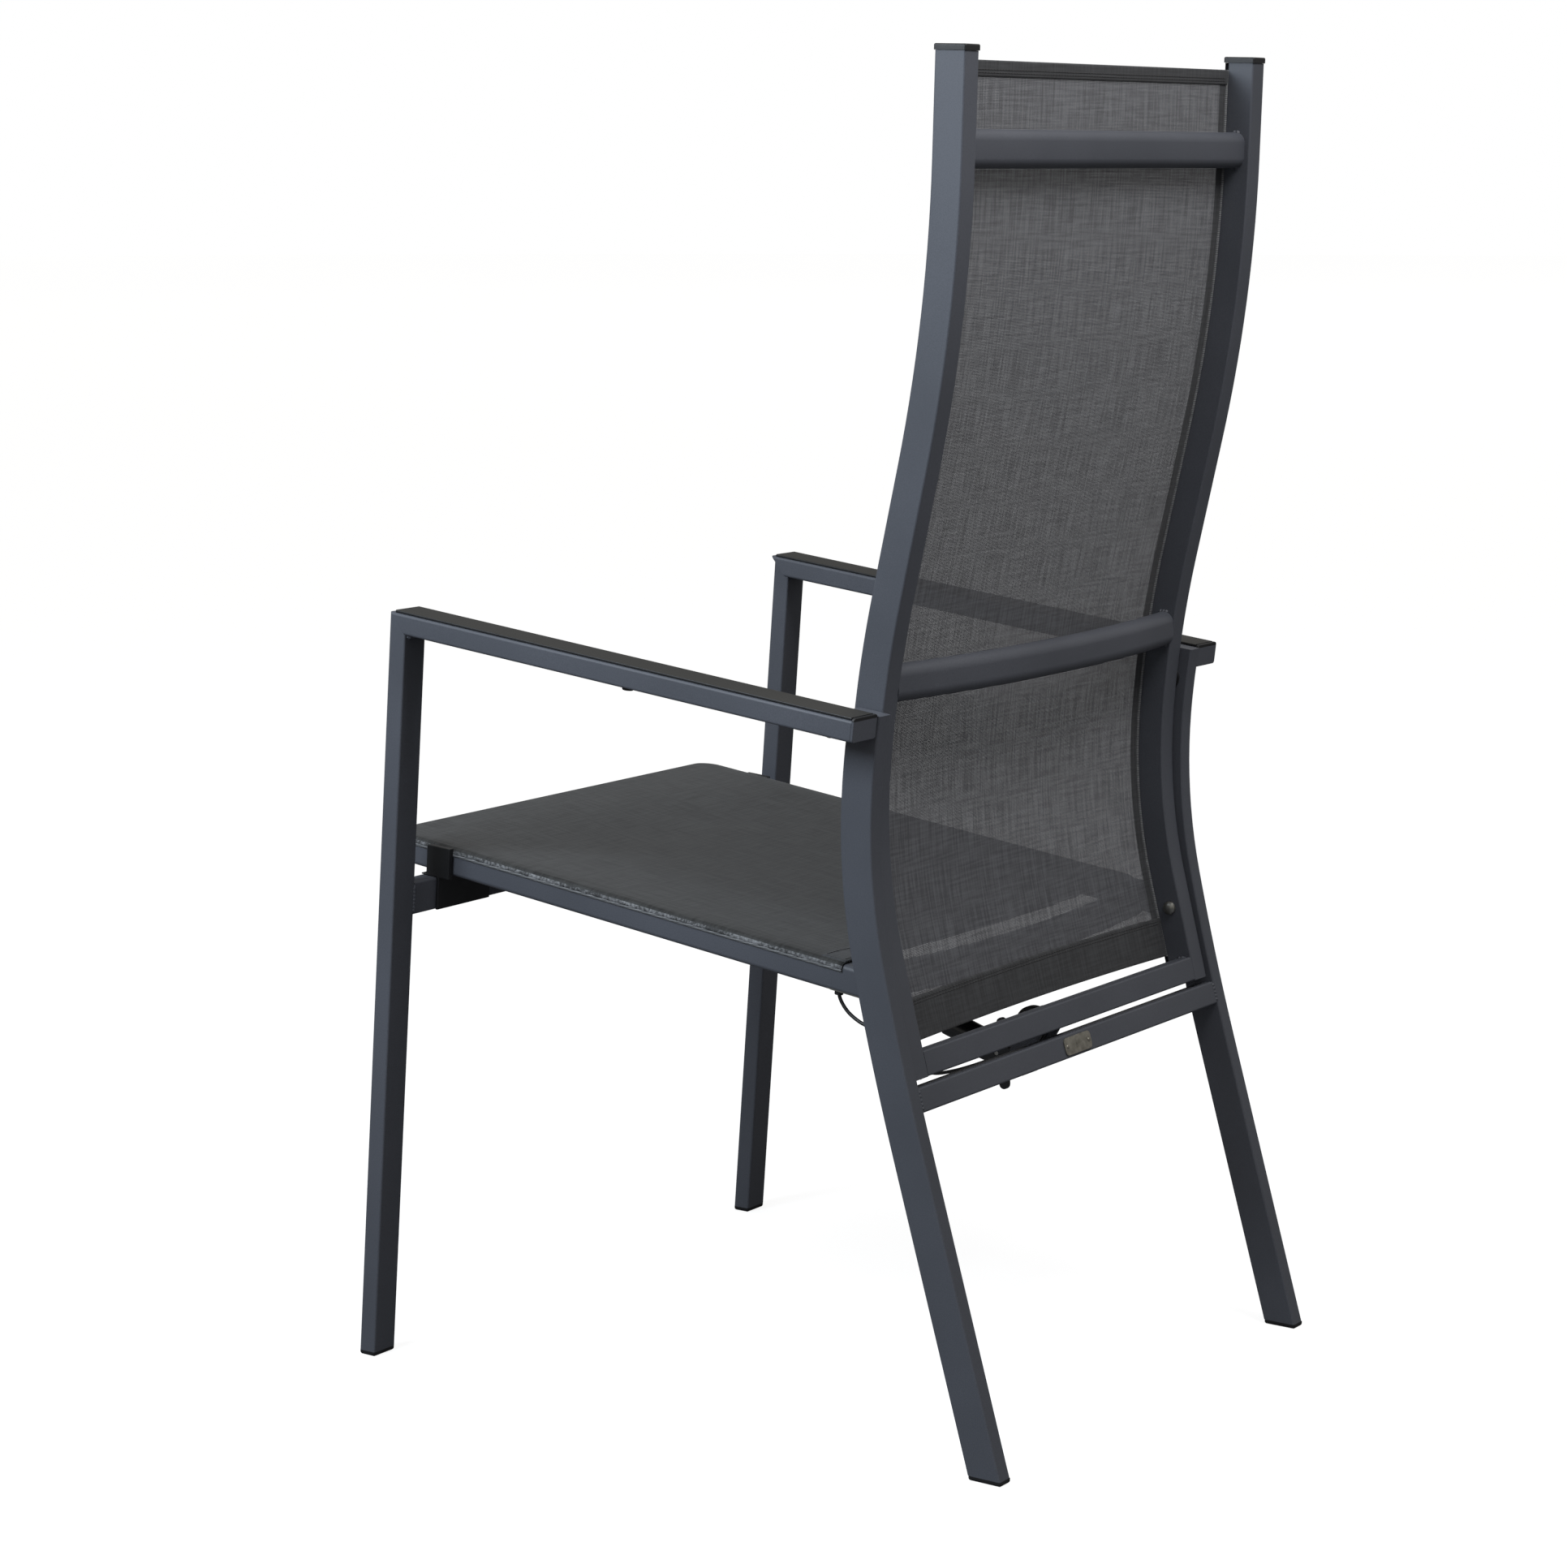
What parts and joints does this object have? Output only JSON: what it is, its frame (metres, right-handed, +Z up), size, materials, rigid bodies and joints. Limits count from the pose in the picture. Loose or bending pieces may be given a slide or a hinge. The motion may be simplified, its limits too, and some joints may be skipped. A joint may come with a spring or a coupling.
{
  "type": "sling patio chair",
  "caption": "High-back outdoor armchair with mesh slings on a flat-tube metal frame; the back reclines on arm pivots, draws the seat forward and is held by a gas spring.",
  "frame": {"origin": "on the floor, under the middle of the chair's outline", "axes": "+Z up, -Y the way the chair faces, +X the sitter's left"},
  "size_m": [0.583, 0.6455, 1.1104],
  "materials": {
    "frame": "matt anthracite powder coat",
    "sling": "coated polyester mesh, black and grey yarn",
    "bead": "sling edge wrapped round a plastic bead",
    "plastic": "black moulded plastic",
    "inlay": "brown-grey moulded arm pad",
    "steel": "plain steel",
    "spring": "black enamel",
    "label": "bare plate, no marking",
    "cable": "black cable sheath"
  },
  "bodies": {
    "base": {"left_front_leg": "frame", "right_front_leg": "frame", "left_armrest": "frame", "right_armrest": "frame", "left_arm_inlay": "inlay", "right_arm_inlay": "inlay", "left_arm_end_cap": "plastic", "right_arm_end_cap": "plastic", "left_rear_leg": "frame", "right_rear_leg": "frame", "left_front_foot_cap": "plastic", "right_front_foot_cap": "plastic", "left_rear_foot_cap": "plastic", "right_rear_foot_cap": "plastic", "front_cross_rail": "frame", "left_seat_glide": "plastic", "right_seat_glide": "plastic", "rear_cross_rail": "frame", "label_plate": "label", "left_pivot_bolt": "steel", "right_pivot_bolt": "steel", "left_pivot_washer": "plastic", "right_pivot_washer": "plastic", "spring_front_bracket": "frame", "spring_front_pin": "steel", "button_bush": "plastic"},
    "back": {"left_back_post": "frame", "right_back_post": "frame", "left_post_cap": "plastic", "right_post_cap": "plastic", "head_bar": "frame", "lumbar_bar": "frame", "back_lower_rail": "frame", "back_sling": "sling", "left_back_bead": "bead", "right_back_bead": "bead", "left_hinge_bolt": "steel", "right_hinge_bolt": "steel", "left_spring_ear": "frame", "right_spring_ear": "frame", "spring_rear_pin": "steel", "release_cable_loop": "cable", "release_cable_run": "cable", "post_front_grommet": "plastic", "post_inner_grommet": "plastic"},
    "seat": {"left_seat_rail": "frame", "right_seat_rail": "frame", "left_seat_tongue": "steel", "right_seat_tongue": "steel", "seat_front_bar": "frame", "seat_rear_bar": "frame", "seat_sling": "sling", "rail_cable_grommet": "plastic"},
    "rod": {"release_head": "spring", "lever_pin": "steel", "piston_rod": "steel"},
    "cylinder": {"gas_cylinder": "spring", "cylinder_eye": "spring"},
    "lever": {"release_lever": "steel"},
    "button": {"release_button": "plastic"}
  },
  "joints": [
    {"name": "recline", "type": "hinge", "parent": "base", "child": "back", "pos_m": [0, 0.18581, 0.575], "axis": [-1, 0, 0], "range_deg": [0, 22]},
    {"name": "seat_fold", "type": "hinge", "parent": "back", "child": "seat", "pos_m": [0, 0.20211, 0.3723], "axis": [1, 0, 0], "range_deg": [0, 21.5], "deforming": ["release_cable_loop"]},
    {"name": "spring_swing", "type": "hinge", "parent": "back", "child": "rod", "pos_m": [0, 0.18581, 0.2733], "axis": [1, 0, 0], "range_deg": [0, 20]},
    {"name": "spring_stroke", "type": "slide", "parent": "rod", "child": "cylinder", "axis": [0, 0.9549, -0.297], "range_m": [0, 0.115]},
    {"name": "button_press", "type": "slide", "parent": "base", "child": "button", "axis": [0, 0.1142, 0.9935], "range_m": [0, 0.003], "stiffness_N_per_m": 600, "springref_m": -0.0005},
    {"name": "lever_swing", "type": "hinge", "parent": "rod", "child": "lever", "pos_m": [0, 0.16481, 0.27984], "axis": [-1, 0, 0], "range_deg": [0, 8.5]}
  ],
  "couplings": [
    {"joint": "seat_fold", "follows": "recline", "ratio": 0.955},
    {"joint": "spring_swing", "follows": "recline", "ratio": 0.882},
    {"joint": "spring_stroke", "follows": "recline", "m_per_rad": 0.2962},
    {"joint": "lever_swing", "follows": "button_press", "rad_per_m": 46.5}
  ]
}
